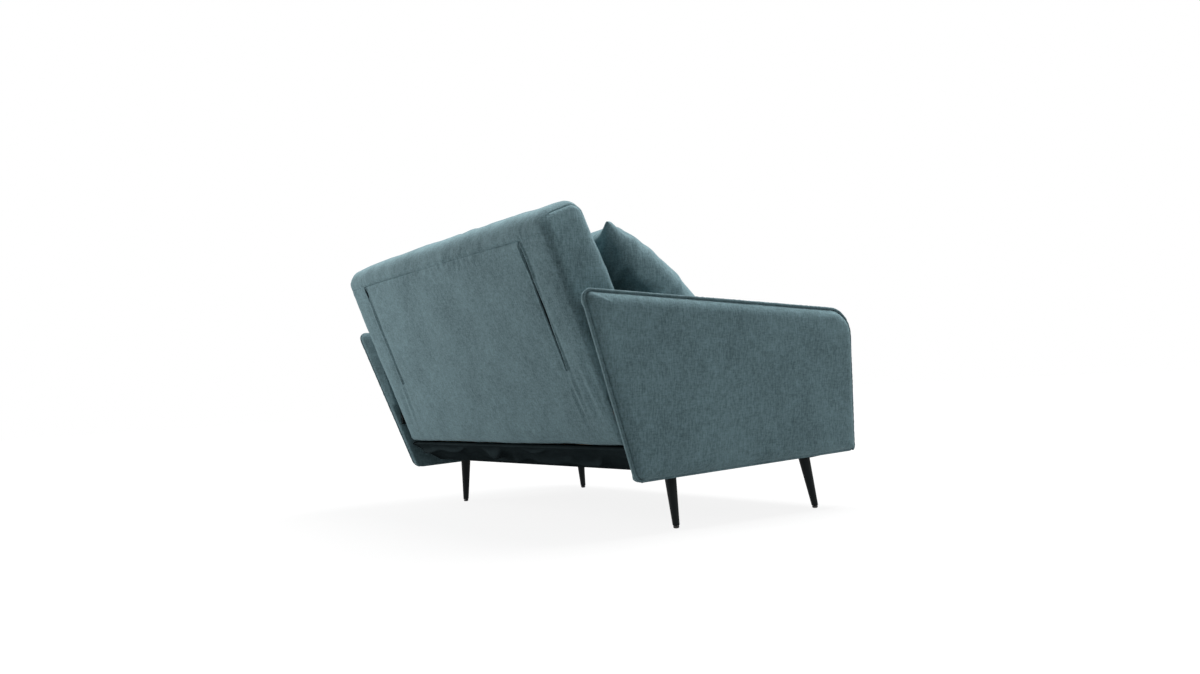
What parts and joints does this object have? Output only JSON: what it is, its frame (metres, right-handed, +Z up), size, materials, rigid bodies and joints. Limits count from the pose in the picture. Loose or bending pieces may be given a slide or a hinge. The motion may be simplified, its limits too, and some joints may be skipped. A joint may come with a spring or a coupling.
{
  "type": "sleeper loveseat",
  "caption": "Upholstered sleeper loveseat with thin flared piped arms, a reclining slab back with swing-out props, a fold-out front leaf, tapered splayed legs and a throw pillow.",
  "frame": {"origin": "On the floor under the middle of the object's bounding box.", "axes": "+X is the right side seen from the front, -Y is the front, +Z is up."},
  "size_m": [1.4412, 0.9332, 0.8084],
  "materials": {
    "grey_teal_velvet": "soft napped grey-teal velvet",
    "piping_velvet": "velvet-covered piping",
    "black_dust_cloth": "black non-woven cloth",
    "frame_softwood": "planed softwood",
    "plywood": "sanded plywood",
    "black_painted_metal": "satin black paint",
    "zinc_plated_steel": "zinc-plated steel",
    "black_plastic": "matt black plastic"
  },
  "bodies": {
    "base": {"left_arm_outer_pad": "grey_teal_velvet", "left_arm_panel": "plywood", "left_arm_welt": "piping_velvet", "left_arm_inner_pad": "grey_teal_velvet", "right_arm_outer_pad": "grey_teal_velvet", "right_arm_panel": "plywood", "right_arm_welt": "piping_velvet", "right_arm_inner_pad": "grey_teal_velvet", "left_side_board": "frame_softwood", "right_side_board": "frame_softwood", "front_rail": "frame_softwood", "rear_rail": "frame_softwood", "plinth_rail": "frame_softwood", "dust_cover": "black_dust_cloth", "rear_dust_panel": "black_dust_cloth", "dust_batten": "frame_softwood", "leg_front_left": "black_painted_metal", "leg_block_front_left": "frame_softwood", "glide_front_left": "black_plastic", "leg_rear_left": "black_painted_metal", "leg_block_rear_left": "frame_softwood", "glide_rear_left": "black_plastic", "leg_front_right": "black_painted_metal", "leg_block_front_right": "frame_softwood", "glide_front_right": "black_plastic", "leg_rear_right": "black_painted_metal", "leg_block_rear_right": "frame_softwood", "glide_rear_right": "black_plastic", "seat_spring_1": "zinc_plated_steel", "seat_spring_2": "zinc_plated_steel", "seat_spring_3": "zinc_plated_steel", "seat_deck": "plywood", "seat_cushion": "grey_teal_velvet", "left_hinge_bracket": "black_painted_metal", "right_hinge_bracket": "black_painted_metal", "leaf_rod": "zinc_plated_steel"},
    "backrest": {"back_rear_pad": "grey_teal_velvet", "back_front_pad": "grey_teal_velvet", "back_top_rail": "frame_softwood", "back_bottom_rail": "frame_softwood", "back_stile_left": "frame_softwood", "back_stile_right": "frame_softwood", "left_hinge_plate": "black_painted_metal", "left_prop_cleat": "frame_softwood", "left_prop_pin": "zinc_plated_steel", "right_hinge_plate": "black_painted_metal", "right_prop_cleat": "frame_softwood", "right_prop_pin": "zinc_plated_steel"},
    "left_prop": {"left_prop": "black_painted_metal"},
    "right_prop": {"right_prop": "black_painted_metal"},
    "inner_leaf": {"inner_leaf_pad": "grey_teal_velvet", "inner_leaf_board": "plywood", "leaf_hinge_tape": "black_dust_cloth", "left_leg_clevis": "zinc_plated_steel", "right_leg_clevis": "zinc_plated_steel"},
    "outer_leaf": {"fascia_pad": "grey_teal_velvet", "outer_leaf_board": "plywood"},
    "left_leaf_leg": {"left_leaf_leg": "black_painted_metal"},
    "right_leaf_leg": {"right_leaf_leg": "black_painted_metal"},
    "pillow": {"throw_pillow": "grey_teal_velvet"}
  },
  "joints": [
    {"name": "backrest_recline", "type": "hinge", "parent": "base", "child": "backrest", "pos_m": [0, 0.29209, 0.301], "axis": [-1, 0, 0], "range_deg": [0, 69.7]},
    {"name": "left_prop_swing", "type": "hinge", "parent": "backrest", "child": "left_prop", "pos_m": [-0.52, 0.43356, 0.70939], "axis": [1, 0, 0], "range_deg": [0, 90]},
    {"name": "right_prop_swing", "type": "hinge", "parent": "backrest", "child": "right_prop", "pos_m": [0.52, 0.43356, 0.70939], "axis": [1, 0, 0], "range_deg": [0, 90]},
    {"name": "front_leaf_raise", "type": "hinge", "parent": "base", "child": "inner_leaf", "pos_m": [0, -0.37905, 0.3897], "axis": [-1, 0, 0], "range_deg": [0, 90]},
    {"name": "outer_leaf_unfold", "type": "hinge", "parent": "inner_leaf", "child": "outer_leaf", "pos_m": [0, -0.40585, 0.195], "axis": [1, 0, 0], "range_deg": [0, 180]},
    {"name": "left_leaf_leg_swing", "type": "hinge", "parent": "inner_leaf", "child": "left_leaf_leg", "pos_m": [-0.42, -0.36075, 0.235], "axis": [0, 0, 1], "range_deg": [0, 90]},
    {"name": "right_leaf_leg_swing", "type": "hinge", "parent": "inner_leaf", "child": "right_leaf_leg", "pos_m": [0.42, -0.36075, 0.235], "axis": [0, 0, -1], "range_deg": [0, 90]},
    {"name": "pillow_settle", "type": "hinge", "parent": "base", "child": "pillow", "pos_m": [-0.404, 0.11777, 0.31065], "axis": [-1, 0, 0], "range_deg": [0, 44.7]}
  ],
  "couplings": [
    {"joint": "outer_leaf_unfold", "follows": "front_leaf_raise", "ratio": 2},
    {"joint": "pillow_settle", "follows": "backrest_recline", "ratio": 0.64132}
  ]
}
